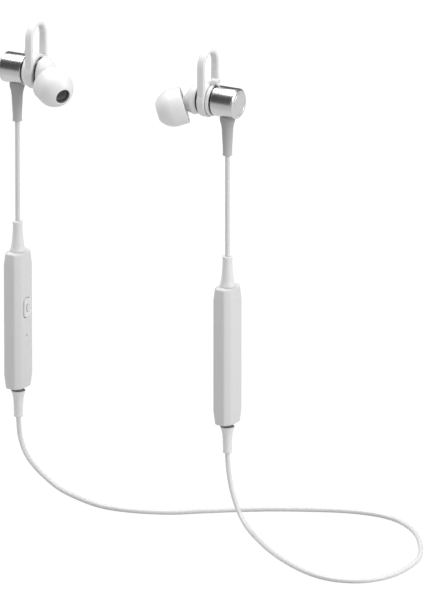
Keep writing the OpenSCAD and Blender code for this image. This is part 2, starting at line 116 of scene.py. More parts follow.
def pod_frame(pod):
    """X points out of the pod's wide front face, Z is up, from the middle of the pod's top."""
    line = middle(pod + "_top_relief")
    top = low(pod + "_top_relief").z + RELIEF_ROOT
    return Matrix.Translation((line.x, line.y, top)) @ Matrix.Rotation(POD_TURN, 4, "Z")


# ---- Sizes and colours that a user would change ----

def length(name, description, default):
    return bpy.props.FloatProperty(name=name, description=description, default=default,
                                   unit="LENGTH")


def colour(name, description, *default):
    return bpy.props.FloatVectorProperty(name=name, description=description, default=default,
                                         subtype="COLOR")


class EarphoneSizes(bpy.types.PropertyGroup):
    """Sizes of the finished surfaces, in metres"""
    edge: length("Moulded edge", "Radius of the pods' moulded edges", 0.55 * MM)
    seam: length("Seam", "Width of the hairline seam between two shells", 0.07 * MM)
    cord_width: length("Cord diameter", "Diameter of the cord", 1.6 * MM)
    voxel: length("Wing detail", "Voxel size of the moulded ear wings", 0.13 * MM)
    wires: bpy.props.IntProperty(
        name="Mesh wires", description="Wires each way in a nozzle's mesh", default=13)


class EarphoneColours(bpy.types.PropertyGroup):
    """Colours of the finishes"""
    pod: colour("Pods", "Matt shells of both pods", 0.64, 0.638, 0.64)
    housing: colour("White plastic", "Front housings and keys", 0.80, 0.80, 0.80)
    silicone: colour("Silicone", "Ear tips and ear wings", 0.755, 0.755, 0.755)
    cord: colour("Cord", "Cord jacket", 0.67, 0.67, 0.675)
    relief: colour("Bud reliefs", "Grey cord reliefs of the buds", 0.49, 0.49, 0.495)
    pale_relief: colour("Pod reliefs", "Pale cord reliefs of the pods", 0.73, 0.73, 0.735)


class EarphoneStudio(bpy.types.PropertyGroup):
    """Camera and light"""
    azimuth: bpy.props.FloatProperty(
        name="Azimuth", description="Camera's turn round the object, in degrees",
        default=28.91)
    elevation: bpy.props.FloatProperty(
        name="Elevation", description="Camera's height above the horizon, in degrees",
        default=17.82)
    distance: length("Distance", "Camera's distance from its aim", 5.5)
    field: length("Field height", "Height of the view at the aim", 0.19958)
    aim: bpy.props.FloatVectorProperty(
        name="Aim", description="Where the camera looks, from the right barrel's middle",
        default=(0.07769, -0.00609, -0.0676), subtype="TRANSLATION")


# ---- Mesh building ----

# Edges that turn by more than these angles, in degrees, are shaded sharp.
SHARP = 38
MOULD_SHARP = 34
RELIEF_SHARP = 32
FACET_SHARP = 30
NEVER_SHARP = 180
SKIN_SMOOTHING = 6

def quadratic(a, b, c, u):
    return a * (1 - u) ** 2 + b * 2 * u * (1 - u) + c * u ** 2


def softened(outline, radius, steps=4):
    """The outline with its corners rounded. Corners on the axis, at radius zero, stay sharp."""
    points = [Vector(p) for p in outline]
    result = []
    for i, corner in enumerate(points):
        before, after = points[i - 1], points[(i + 1) % len(points)]
        if corner.x < 1e-7:
            result.append(corner)
            continue
        to_before, to_after = before - corner, after - corner
        reach = min(radius, 0.45 * to_before.length, 0.45 * to_after.length)
        a = corner + to_before.normalized() * reach
        c = corner + to_after.normalized() * reach
        result += [quadratic(a, corner, c, k / steps) for k in range(steps + 1)]
    return result


def rounded(corners, reach, steps):
    """A closed outline with each corner replaced by a curve that starts a reach before it."""
    points = []
    for i, corner in enumerate(corners):
        c = Vector(corner)
        before, after = Vector(corners[i - 1]), Vector(corners[(i + 1) % len(corners)])
        a = c + (before - c).normalized() * reach
        b = c + (after - c).normalized() * reach
        points += [quadratic(a, c, b, k / steps) for k in range(steps + 1)]
    return points


def full_turn(count):
    return [2 * math.pi * k / count for k in range(count)]


def arc(centre, radius, start, end, steps):
    """Points on a circle about (r, z), angles in degrees from the r axis."""
    angles = [math.radians(start + (end - start) * k / steps) for k in range(steps + 1)]
    return [(centre[0] + radius * math.cos(a), centre[1] + radius * math.sin(a)) for a in angles]


def mesh_object(name, bm, sharp=SHARP):
    """An object at the origin with the mesh's faces outwards and smooth but for sharp edges."""
    bmesh.ops.remove_doubles(bm, verts=bm.verts, dist=1e-7)
    bmesh.ops.recalc_face_normals(bm, faces=bm.faces)
    mesh = bpy.data.meshes.new(name)
    bm.to_mesh(mesh)
    bm.free()
    return shown(name, mesh, sharp)


def shown(name, mesh, sharp=SHARP):
    mesh.polygons.foreach_set("use_smooth", [True] * len(mesh.polygons))
    mesh.set_sharp_from_angle(angle=math.radians(sharp))
    obj = bpy.data.objects.new(name, mesh)
    bpy.context.scene.collection.objects.link(obj)
    return obj


def lathe(name, outline, place, segments=96, sharp=SHARP):
    """A solid of revolution about the place's Z from a closed outline of (radius, height)."""
    bm = bmesh.new()
    rings = []
    for r, z in outline:
        if r < 1e-7:
            rings.append([bm.verts.new(place @ Vector((0, 0, z)))])
            continue
        rings.append([bm.verts.new(place @ Vector((r * math.cos(a), r * math.sin(a), z)))
                      for a in full_turn(segments)])
    for i, ring in enumerate(rings):
        join_rings(bm, ring, rings[(i + 1) % len(rings)])
    return mesh_object(name, bm, sharp)


def join_rings(bm, a, b):
    """Faces between two rings, either of which may be a single pole."""
    if len(a) == 1 and len(b) == 1:
        return
    count = max(len(a), len(b))
    for k in range(count):
        m = (k + 1) % count
        corners = [a[k % len(a)], a[m % len(a)], b[m % len(b)], b[k % len(b)]]
        unique = list(dict.fromkeys(corners))
        if len(unique) > 2:
            bm.faces.new(unique)


def loft(name, rings, sharp=SHARP):
    """A solid through rings of points, with its ends filled."""
    bm = bmesh.new()
    loops = [[bm.verts.new(p) for p in ring] for ring in rings]
    for a, b in zip(loops, loops[1:]):
        join_rings(bm, a, b)
    bm.faces.new(loops[0])
    bm.faces.new(loops[-1])
    return mesh_object(name, bm, sharp)


def box_object(name, corner_a, corner_b, place, bevel=0.0):
    bm = bmesh.new()
    bmesh.ops.create_cube(bm, size=1)
    a, b = Vector(corner_a), Vector(corner_b)
    size = Matrix.Diagonal((*(b - a), 1))
    bmesh.ops.transform(bm, matrix=Matrix.Translation((a + b) / 2) @ size, verts=bm.verts)
    if bevel:
        bmesh.ops.bevel(bm, geom=bm.edges[:], offset=bevel, segments=4, profile=0.5,
                        affect="EDGES")
    bmesh.ops.transform(bm, matrix=place, verts=bm.verts)
    return mesh_object(name, bm)


def baked(obj, sharp=SHARP):
    """Turns an object's live modifiers into a plain mesh."""
    depsgraph = bpy.context.evaluated_depsgraph_get()
    mesh = bpy.data.meshes.new_from_object(obj.evaluated_get(depsgraph))
    name = obj.name
    old = obj.data
    bpy.data.objects.remove(obj)
    if isinstance(old, bpy.types.Mesh):
        bpy.data.meshes.remove(old)
    mesh.name = name
    return shown(name, mesh, sharp)


def combined(obj, others, operation, sharp=SHARP):
    """The object joined with, cut by or kept inside the others, which are used up."""
    for other in others:
        boolean = obj.modifiers.new("Carve", "BOOLEAN")
        boolean.operation = operation
        boolean.solver = "EXACT"
        boolean.object = other
        obj = baked(obj, sharp)
        bpy.data.objects.remove(other)
    return obj


def moulded(obj, voxel):
    """One skin over pieces that meet, with its creases filled as in a rubber moulding."""
    remesh = obj.modifiers.new("Skin", "REMESH")
    remesh.mode = "VOXEL"
    remesh.voxel_size = voxel
    soften = obj.modifiers.new("Soften", "CORRECTIVE_SMOOTH")
    soften.iterations = SKIN_SMOOTHING
    soften.use_only_smooth = True
    return baked(obj, NEVER_SHARP)


def finish_piece(obj, node):
    """Gives a piece its material, and the body and slot of the CAD node that it stands for."""
    obj.data.materials.clear()
    obj.data.materials.append(finish_of(node))
    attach(obj, BODY_OF_NODE[node])
    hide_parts(node)
    return obj


# ---- Shader maths ----

class Wire:
    """A socket that + and * join to Math nodes."""

    def __init__(self, tree, socket):
        self.tree = tree
        self.socket = socket

    def math(self, operation, *values):
        return self.tree.node("ShaderNodeMath", {"operation": operation}, dict(enumerate(values)))

    def __add__(self, other):
        return self.math("ADD", self, other)

    def __mul__(self, other):
        return self.math("MULTIPLY", self, other)


class Finish:
    """Builds one node material on a Principled shader."""

    def __init__(self, name, roughness, **constants):
        self.material = bpy.data.materials.new(name)
        self.material.use_nodes = True
        self.nodes = self.material.node_tree.nodes
        self.links = self.material.node_tree.links
        self.shader = self.nodes["Principled BSDF"]
        self.set("Roughness", roughness)
        for socket, value in constants.items():
            self.set(socket.replace("_", " "), value)

    def node(self, kind, settings=None, values=None, output=0):
        """Adds a node, sets it up and feeds its sockets, and gives one output."""
        node = self.nodes.new(kind)
        for key, value in (settings or {}).items():
            setattr(node, key, value)
        for key, value in (values or {}).items():
            self.feed(node.inputs[key], value)
        return Wire(self, node.outputs[output])

    def feed(self, socket, value):
        if isinstance(value, Wire):
            self.links.new(value.socket, socket)
        else:
            socket.default_value = value

    def set(self, name, value):
        self.feed(self.shader.inputs[name], value)

    def place(self, scale=(1, 1, 1), turn=(0, 0, 0), about=(0, 0, 0)):
        """Object coordinates, stretched and turned about a point."""
        spot = self.node("ShaderNodeTexCoord", output="Object")
        moved = self.node("ShaderNodeVectorMath", {"operation": "SUBTRACT"}, {0: spot, 1: about})
        return self.node("ShaderNodeMapping", {}, {"Vector": moved, "Rotation": turn,
                                                   "Scale": scale})

    def noise(self, scale, detail=2.0, place=None, roughness=0.5):
        values = {"Scale": scale, "Detail": detail, "Roughness": roughness}
        values["Vector"] = place or self.place()
        return self.node("ShaderNodeTexNoise", {}, values)

    def between(self, wire, dark, light):
        """Blends two colours by a value; the first may be a wire."""
        mix = self.nodes.new("ShaderNodeMix")
        mix.data_type = "RGBA"
        self.feed(mix.inputs[0], wire)
        self.feed(mix.inputs[6], dark if isinstance(dark, Wire) else (*dark, 1))
        self.feed(mix.inputs[7], (*light, 1))
        return Wire(self, mix.outputs[2])

    def coordinate(self, axis):
        return self.node("ShaderNodeSeparateXYZ", {}, {0: self.place()}, axis)

    def ramp(self, value, start, end, least=0.0, most=1.0, kind="LINEAR"):
        """The least up to the start, the most from the end on, and a blend between them."""
        return self.node("ShaderNodeMapRange", {"interpolation_type": kind}, {
            "Value": value, "From Min": start, "From Max": end, "To Min": least, "To Max": most})

    def bump(self, height, strength, distance):
        self.set("Normal", self.node("ShaderNodeBump", {}, {
            "Height": height, "Strength": strength, "Distance": distance}))

    def textured(self, tone, grain, middle_roughness, spread, strength, depth):
        """A colour, with a roughness and a bump that follow one grain."""
        self.set("Base Color", tone)
        self.set("Roughness", grain * spread + (middle_roughness - spread / 2))
        self.bump(grain, strength, depth)
        return self.material


def shade(colour, factor):
    return tuple(min(1.0, c * factor) for c in colour[:3])


def moulded_plastic(name, colour, roughness, grain, coat=0.0):
    """Injection-moulded plastic with a fine spark-eroded texture."""
    finish = Finish(name, roughness, Coat_Weight=coat, Coat_Roughness=0.25)
    cloud = finish.noise(60, 3)
    fine = finish.noise(grain, 2, roughness=0.6)
    tone = finish.between(cloud, shade(colour, 0.975), shade(colour, 1.02))
    return finish.textured(tone, fine, roughness, 0.12, 0.35, 0.03 * MM)


def root_band(root):
    """The share of shadow in a band about the height at which a relief enters its pod."""
    def share(finish):
        height = finish.coordinate("Z")
        return (finish.ramp(height, root - 1.5 * MM, root - 1.2 * MM)
                * finish.ramp(height, root + 2 * MM, root + 3 * MM, 1.0, 0.0))
    return share


def rising_shade(node, most):
    """A share of shadow that rises along a relief, from none at its foot."""
    def share(finish):
        return finish.ramp(finish.coordinate("Z"), low(node).z, high(node).z, 0.0, most)
    return share


def painted_bore_shade(finish):
    """The share of painted shade on the walls of an ear tip's bore, marked on its mesh."""
    return finish.node("ShaderNodeAttribute", {"attribute_name": "bore_shade"}, output="Fac")


def soft_rubber(name, colour, roughness, subsurface, grain=2600, shadow=None):
    """Matt silicone or moulded rubber, a little cloudy and softly lit from within."""
    finish = Finish(name, roughness, Subsurface_Weight=subsurface, Subsurface_Scale=1.2 * MM,
                    Subsurface_Radius=(1.0, 0.95, 0.9))
    cloud = finish.noise(90, 2)
    fine = finish.noise(grain, 3, roughness=0.55)
    tone = finish.between(cloud, shade(colour, 0.98), shade(colour, 1.01))
    # Painted shade: where the shadow share is whole, the colour darkens to under a fifth of
    # itself.
    if shadow:
        tone = finish.between(shadow(finish), tone, shade(colour, 0.18))
    return finish.textured(tone, fine, roughness, 0.14, 0.3, 0.02 * MM)


def turned_metal(name, colour, roughness, about, streaks):
    """Metal turned on a lathe: fine rings round the axis, which lies along X."""
    finish = Finish(name, roughness, Metallic=1.0)
    rings = finish.noise(1, 3, finish.place((streaks, 40, 40), about=about), 0.65)
    cloud = finish.noise(220, 2)
    tone = finish.between(rings * 0.7 + cloud * 0.3, shade(colour, 0.86), shade(colour, 1.12))
    return finish.textured(tone, rings, roughness, 0.16, 0.25, 0.012 * MM)


def plain_metal(name, colour, roughness, scale=700):
    """Pressed or plated metal with faint handling marks."""
    finish = Finish(name, roughness, Metallic=1.0)
    marks = finish.noise(scale, 4, roughness=0.7)
    tone = finish.between(marks, shade(colour, 0.85), shade(colour, 1.1))
    return finish.textured(tone, marks, roughness, 0.2, 0.2, 0.02 * MM)


def board_laminate(name):
    """Solder mask over copper tracks."""
    finish = Finish(name, 0.35, Coat_Weight=0.4)
    tracks = finish.node("ShaderNodeTexBrick", {"offset": 0.5}, {
        "Vector": finish.place((1, 1, 1), (0, math.radians(90), 0)), "Scale": 420.0,
        "Mortar Size": 0.12, "Brick Width": 0.9, "Row Height": 0.35}, "Fac")
    finish.set("Base Color", finish.between(tracks, (0.012, 0.10, 0.05), (0.03, 0.20, 0.09)))
    finish.bump(tracks, 0.3, 0.03 * MM)
    return finish.material


def speckled(name, dark, light, roughness, scale, **constants):
    """A body with fine grains, such as ceramic, resin or film."""
    finish = Finish(name, roughness, **constants)
    grains = finish.noise(scale, 4, roughness=0.7)
    finish.set("Base Color", finish.between(grains, dark, light))
    finish.set("Roughness", grains * 0.15 + (roughness - 0.07))
    finish.bump(grains, 0.25, 0.02 * MM)
    return finish.material


def crinkled_foil(name):
    """The laminate pouch of a lithium cell."""
    finish = Finish(name, 0.32, Metallic=0.9)
    creases = finish.node("ShaderNodeTexVoronoi", {"feature": "DISTANCE_TO_EDGE"}, {
        "Vector": finish.place(), "Scale": 260.0}, "Distance")
    finish.set("Base Color", finish.between(creases, (0.42, 0.43, 0.45), (0.62, 0.63, 0.65)))
    finish.bump(creases, 0.4, 0.05 * MM)
    return finish.material


FINISHES = {}


def make_finishes(colours):
    """Every finish of the object, by the record's material slots."""
    pod = tuple(colours.pod)
    about = tuple(middle("right_barrel"))
    pod_foot = high("remote_bottom_relief").z - RELIEF_ROOT
    FINISHES.update({
        "white_plastic": moulded_plastic("White_Plastic", tuple(colours.housing), 0.42, 2600),
        "pod_plastic": moulded_plastic("Pod_Plastic", pod, 0.5, 2200),
        "key_plastic": moulded_plastic("Key_Plastic", shade(pod, 1.1), 0.38, 3000, 0.1),
        # The ear tips' bore walls get painted shade.
        "white_silicone": soft_rubber("White_Silicone", tuple(colours.silicone), 0.42, 0.08,
                                      shadow=painted_bore_shade),
        "grey_rubber": soft_rubber("Grey_Rubber", tuple(colours.relief), 0.55, 0.0,
                                   shadow=rising_shade("right_bud_relief", 0.42)),
        "pale_rubber": soft_rubber("Pale_Rubber", tuple(colours.pale_relief), 0.5, 0.0,
                                   shadow=root_band(pod_foot)),
        "cord_jacket": soft_rubber("Cord_Jacket", tuple(colours.cord), 0.38, 0.15, 1800),
        "satin_barrel": turned_metal("Turned_Barrel", (0.66, 0.66, 0.67), 0.27, about, 16000),
        "dark_trim": turned_metal("Dark_Trim", (0.10, 0.10, 0.105), 0.22, about, 20000),
        "cap_metal": turned_metal("Cap_Metal", (0.72, 0.72, 0.73), 0.38, about, 9000),
        "steel_mesh": plain_metal("Steel_Mesh", (0.07, 0.07, 0.075), 0.35, 2500),
        "magnet_metal": plain_metal("Magnet_Plate", (0.5, 0.51, 0.53), 0.25),
        "driver_metal": plain_metal("Driver_Frame_Metal", (0.6, 0.6, 0.61), 0.35),
        "tin_plate": plain_metal("Tin_Plate", (0.7, 0.7, 0.69), 0.3),
        "film": speckled("Driver_Film", (0.55, 0.47, 0.30), (0.66, 0.58, 0.4), 0.3, 900),
        "circuit_board": board_laminate("Circuit_Board"),
        "chip_resin": speckled("Chip_Resin", (0.015, 0.015, 0.017), (0.03, 0.03, 0.032),
                               0.55, 1800),
        "ceramic": speckled("Antenna_Ceramic", (0.66, 0.6, 0.5), (0.78, 0.73, 0.64), 0.5, 1400),
        "cell_foil": crinkled_foil("Cell_Foil"),
        "led_resin": speckled("Lamp_Resin", (0.8, 0.78, 0.6), (0.92, 0.9, 0.75), 0.15, 600,
                              Coat_Weight=0.5),
    })


def finish_of(node):
    return FINISHES[SLOT_OF_NODE[node]]


# ---- Cord routes ----

# The neck cord's middle line, from the right cord line, in metres. Heights are above its
# resting plane, which lies NECK_RISE below the pods' lower reliefs.
NECK_RISE = 0.0221
NECK_ROUTE = [
    (0, 0, 0.0221), (0.0003, -0.0002, 0.019), (0.0009, -0.0006, 0.0157),
    (0.0027, -0.0016, 0.0121), (0.0054, -0.003, 0.0093), (0.008, -0.0036, 0.0071),
    (0.011, -0.004, 0.0049), (0.018, -0.006, 0.0019), (0.024, -0.0081, 0.0009),
    (0.032, -0.0106, 0.0003), (0.0395, -0.012, 0), (0.048, -0.0115, 0), (0.056, -0.0092, 0),
    (0.063, -0.006, 0), (0.070, -0.0007, 0), (0.0796, 0.0062, 0), (0.0894, 0.0125, 0),
    (0.100, 0.018, 0),
    (0.110, 0.0223, 0), (0.118, 0.0244, 0), (0.126, 0.0246, 0), (0.134, 0.022, 0),
    (0.143, 0.015, 0), (0.151, 0.0043, 0), (0.157, -0.0074, 0), (0.1587, -0.017, 0),
    (0.1582, -0.0268, 0), (0.1552, -0.0344, 0), (0.150, -0.0394, 0), (0.142, -0.0414, 0),
    (0.133, -0.0396, 0), (0.121, -0.0332, 0), (0.1087, -0.024, 0), (0.096, -0.0122, 0.0002),
    (0.0904, -0.0072, 0.0016), (0.0868, -0.0046, 0.0044), (0.084, -0.0029, 0.0086),
    (0.082, -0.0015, 0.013), (0.0807, -0.0005, 0.018), (0.0802, 0, 0.0221),
]


def smooth_route(points, steps):
    """The route on one smooth curve through its points."""
    result = []
    for i in range(len(points) - 1):
        a, b = points[max(i - 1, 0)], points[i]
        c, d = points[i + 1], points[min(i + 2, len(points) - 1)]
        for k in range(steps):
            u = k / steps
            result.append((2 * b + (c - a) * u + (2 * a - 5 * b + 4 * c - d) * u ** 2
                           + (3 * b - a - 3 * c + d) * u ** 3) / 2)
    return result + [points[-1]]


def route_length(points):
    return sum((b - a).length for a, b in zip(points, points[1:]))


def cord_curve(name, points, width):
    curve = bpy.data.curves.new(name, "CURVE")
    curve.dimensions = "3D"
    curve.bevel_depth = width / 2
    curve.bevel_resolution = 5
    curve.use_fill_caps = True
    spline = curve.splines.new("POLY")
    spline.points.add(len(points) - 1)
    for spot, point in zip(spline.points, points):
        spot.co = (*point, 1)
    spline.use_smooth = True
    cord = bpy.data.objects.new(name, curve)
    bpy.context.scene.collection.objects.link(cord)
    return cord


class EARPHONES_OT_cords(bpy.types.Operator):
    """Lays the two upper cords and the neck cord along their routes"""
    bl_idname = "earphones.cords"
    bl_label = "Cords"

    def execute(self, context):
        width = context.scene.earphone_sizes.cord_width
        for side, pod in zip(SIDES, PODS):
            line = middle(side + "_cord")
            top = low(side + "_bud_relief").z
            bottom = high(pod + "_top_relief").z
            steps = 12
            points = [Vector((line.x, line.y, top + (bottom - top) * k / steps))
                      for k in range(steps + 1)]
            self.lay(side + "_cord", "Upper_Cord_" + side.title(), points, width, "hanging")
        start = middle("right_cord")
        plane = low("remote_bottom_relief").z - NECK_RISE
        points = smooth_route([Vector((start.x, start.y, plane)) + Vector(p)
                               for p in NECK_ROUTE], 8)
        self.lay("neck_cord", "Neck_Cord", points, width, "loose")
        return {"FINISHED"}

    def lay(self, node, name, points, width, lay):
        cord = cord_curve(name, points, width)
        finish_piece(cord, node)
        route_length(points)


# ---- Buds ----

BARREL_R = 5.15 * MM
BARREL_HALF = 3.85 * MM
BORE_R = 4.65 * MM
RING_R = 4.95 * MM
TRIM = 0.7 * MM
COLLAR = 1.2 * MM
COLLAR_R = 5.3 * MM
COLLAR_START = BARREL_HALF + TRIM
GROOVE_START = COLLAR_START + COLLAR
GROOVE_END = GROOVE_START + 3.2 * MM
GROOVE_R = 4.6 * MM
# Width of the dark seal ring, which is partly a real ring and partly painted shade in the groove
# between the ear wing and the dome.
SEAL_AND_SHADE_BAND = 0.8 * MM
DOME_START = GROOVE_END + SEAL_AND_SHADE_BAND
WING_WIDTH = 2.8 * MM
WING_BORE_R = 4.68 * MM
WING_RING_R = 5.93 * MM
WING_STRIP = 1.5 * MM
WING_TOP = 17.5 * MM


def mm(*pairs):
    """Outline points given in millimetres."""
    return [(r * MM, z * MM) for r, z in pairs]


def rod(name, radius, start, end, place, segments=48):
    """A plain cylinder along the place's Z, sized in millimetres, to join or to cut with."""
    return lathe(name, mm((0, start), (radius, start), (radius, end), (0, end)), place, segments)


def tube_outline(outer, inner, start, end, edge, steps=4):
    """A tube's closed outline between two stations, with its edges rounded."""
    return softened([(outer, start), (outer, end), (inner, end), (inner, start)], edge, steps)


class EARPHONES_OT_barrels(bpy.types.Operator):
    """Turns the barrels, their outer caps and the dark trim and seal rings; the seal ring is
    partly painted shade in the groove before the dome
    """
    bl_idname = "earphones.barrels"
    bl_label = "Barrels, caps and rings"

    def execute(self, context):
        for side in SIDES:
            self.barrel(side)
            self.cap(side)
            self.ring(side, "trim_ring", BARREL_HALF, TRIM)
            # The seal ring's dark band is partly painted shade for the groove before the dome.
            self.ring(side, "seal_ring", GROOVE_END, SEAL_AND_SHADE_BAND)
        return {"FINISHED"}

    def barrel(self, side):
        outline = tube_outline(BARREL_R, BORE_R, -BARREL_HALF, BARREL_HALF, 0.16 * MM)
        barrel = lathe("Barrel_" + side.title(), outline, barrel_frame(side), 128)
        hole = rod("Hole", 1.8, -6.5, -1, bud_frame(side))
        finish_piece(combined(barrel, [hole], "DIFFERENCE"), side + "_barrel")

    def cap(self, side):
        """A crowned disc with a chamfered rim, a fine groove and a spigot in the barrel."""
        node = side + "_end_cap"
        face = mm((0, -0.70), (3.55, -0.69), (3.62, -0.62), (3.74, -0.62), (3.81, -0.69),
                  (4.42, -0.67), (4.62, -0.60), (5.05, -0.24), (5.12, -0.12), (5.12, 0.0))
        spigot = mm((4.55, 0.0), (4.55, 1.3), (3.95, 1.3), (3.95, 0.0), (0, 0.0))
        cap = lathe("End_Cap_" + side.title(), face + spigot,
                    barrel_frame(side, -BARREL_HALF), 128, FACET_SHARP)
        finish_piece(cap, node)

    def ring(self, side, part, station, width):
        """A dark ring, a little below the surfaces on both sides of it."""
        gap = 0.02 * MM
        outline = tube_outline(RING_R, BORE_R, gap, width - gap, 0.1 * MM)
        ring = lathe("%s_%s" % (part.title(), side.title()), outline,
                     barrel_frame(side, station), 128)
        finish_piece(ring, "%s_%s" % (side, part))


# Radii along the neck that turns from the barrel's axis to the nozzle's, as shares of its way.
NECK_RADII = [(0.0, 5.05), (0.03, 5.26), (0.08, 5.34), (0.2, 5.3), (0.34, 5.1), (0.48, 4.68),
              (0.6, 4.1), (0.72, 3.42), (0.84, 2.8), (0.93, 2.4), (1.0, 2.15)]
NOZZLE_REACH = 6.0
NECK_END = 1.8
# The nozzle mesh's radius reaches over the nozzle's whole end, so its dark disc is partly a real
# mesh and partly painted shade for the tip's mouth.
MESH_AND_SHADE_R = 2.28 * MM
MESH_WIRE = 0.06 * MM
MESH_STATION = 6.1 * MM
KNOB_HEIGHT = 6.35 * MM
# Radius inside which an ear tip's bore walls get painted shade, and the width over which it
# fades.
BORE_SHADE_R = 2.62 * MM
BORE_SHADE_BLEND = 0.12 * MM


class EARPHONES_OT_housings(bpy.types.Operator):
    """Models the white front housings with their angled nozzles, and the nozzles' meshes"""
    bl_idname = "earphones.housings"
    bl_label = "Front housings and nozzle meshes"

    def execute(self, context):
        for side in SIDES:
            self.housing(side)
            self.mesh(side, context.scene.earphone_sizes.wires)
        return {"FINISHED"}

    def housing(self, side):
        node = side + "_front_housing"
        bud, nozzle = bud_frame(side), nozzle_frame(side)
        collar = lathe("Front_Housing_" + side.title(), softened([
            (4.55 * MM, BARREL_HALF - 1 * MM), (4.55 * MM, COLLAR_START + 0.02 * MM),
            (COLLAR_R, COLLAR_START + 0.02 * MM), (COLLAR_R, GROOVE_START),
            (GROOVE_R, GROOVE_START), (GROOVE_R, DOME_START + 0.6 * MM),
            (3.5 * MM, DOME_START + 0.6 * MM), (3.5 * MM, BARREL_HALF - 1 * MM)], 0.18 * MM),
            barrel_frame(side), 128)
        neck = loft("Neck", self.neck_rings(bud, nozzle))
        bore = rod("Bore", 1.6, -3, 7, nozzle)
        seat = rod("Seat", 1.9, 5.75, 7, nozzle)
        housing = combined(collar, [neck, self.knob(bud)], "UNION", MOULD_SHARP)
        housing = combined(housing, [bore, seat], "DIFFERENCE", MOULD_SHARP)
        finish_piece(housing, node)

    def neck_rings(self, bud, nozzle):
        """Rings from the dome's edge round to the nozzle, then along it over its lip."""
        start = bud @ Vector((DOME_START, 0, 0))
        end = nozzle @ Vector((0, 0, -NECK_END * MM))
        axis_a = (bud.to_3x3() @ Vector((1, 0, 0))).normalized()
        axis_b = (nozzle.to_3x3() @ Vector((0, 0, 1))).normalized()
        reach = (end - start).length * 0.4
        controls = [start, start + axis_a * reach, end - axis_b * reach, end]
        rings = [self.ring(start, axis_a, 4.2 * MM)]
        for u, r in NECK_RADII:
            weights = [(1 - u) ** 3, 3 * u * (1 - u) ** 2, 3 * u ** 2 * (1 - u), u ** 3]
            spot = sum((c * w for c, w in zip(controls, weights)), Vector())
            axis = axis_a.slerp(axis_b, u * u * (3 - 2 * u))
            rings.append(self.ring(spot, axis, r * MM))
        tube = [(-1.25, 2.02), (-0.85, 2.0), (4.65, 2.0), (4.8, 2.02), (5.1, 2.22), (5.25, 2.25),
                (5.55, 2.25), (5.75, 2.2), (5.93, 2.08), (NOZZLE_REACH, 1.95)]
        for t, r in tube:
            rings.append(self.ring(nozzle @ Vector((0, 0, t * MM)), axis_b, r * MM))
        return rings

    def ring(self, centre, axis, r, count=96):
        side = axis.cross(Vector((0, 0, 1))).normalized()
        other = axis.cross(side)
        return [centre + (side * math.cos(a) + other * math.sin(a)) * r
                for a in full_turn(count)]

    def knob(self, bud):
        """The small round knob on top of the collar, with the web that carries it."""
        place = bud @ Matrix.Translation((GROOVE_START, 0, KNOB_HEIGHT)) @ Z_ALONG_X
        outline = softened(mm((0, -2.35), (0.42, -2.35), (0.46, -2.05), (0.7, -2.05),
                              (0.74, -2.4), (1.1, -2.4), (1.1, 0), (0, 0)), 0.12 * MM)
        knob = lathe("Knob", outline, place, 48)
        web = box_object("Web", (COLLAR_START + 0.05 * MM, -0.8 * MM, 4.9 * MM),
                         (GROOVE_START - 0.02 * MM, 0.8 * MM, 6.3 * MM), bud)
        return combined(knob, [web], "UNION")

    def mesh(self, side, wires):
        """A woven disc: wires laid both ways, dipping over and under each other."""
        node = side + "_nozzle_mesh"
        tree = woven_disc_tree(finish_of(node))
        holder = bpy.data.objects.new("Nozzle_Mesh_" + side.title(),
                                      bpy.data.meshes.new("Nozzle_Mesh"))
        bpy.context.scene.collection.objects.link(holder)
        modifier = holder.modifiers.new("Weave", "NODES")
        modifier.node_group = tree
        sizes = {"Radius": MESH_AND_SHADE_R, "Wire": MESH_WIRE, "Wires": wires}
        for item in tree.interface.items_tree:
            if item.item_type == "SOCKET" and item.in_out == "INPUT" and item.name in sizes:
                modifier[item.identifier] = sizes[item.name]
        disc = baked(holder, 60)
        # The disc sits just past the nozzle's end and covers it: partly painted shade.
        place = nozzle_frame(side) @ Matrix.Translation((0, 0, MESH_STATION))
        disc.data.transform(place)
        disc.data.update()
        finish_piece(disc, node)


